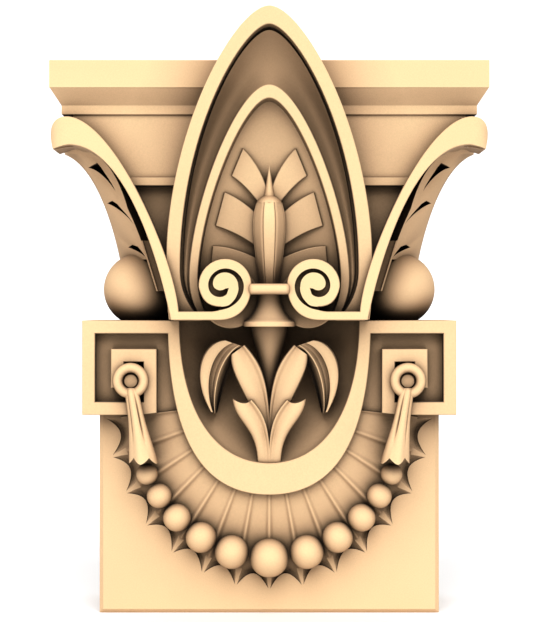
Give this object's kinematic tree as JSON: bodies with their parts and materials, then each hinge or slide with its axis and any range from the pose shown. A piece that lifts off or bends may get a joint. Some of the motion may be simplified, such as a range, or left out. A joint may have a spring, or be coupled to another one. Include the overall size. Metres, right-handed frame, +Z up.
{
  "type": "carved pilaster capital",
  "caption": "Carved stone capital for a pilaster, with a pointed anthemion leaf, scrolled ribbons, key blocks and a beaded shell.",
  "frame": {"origin": "middle of the flat underside of the shaft, where the capital rests on the pilaster below", "axes": "+Z up, the carved front faces -Y, the flat back against the wall faces +Y, +X to the right seen from the front"},
  "size_m": [0.378, 0.1718, 0.5226],
  "materials": {
    "stone": "fine dressed warm limestone, matt, darker in the hollows"
  },
  "bodies": {
    "root": {"capital": "stone"}
  },
  "joints": []
}
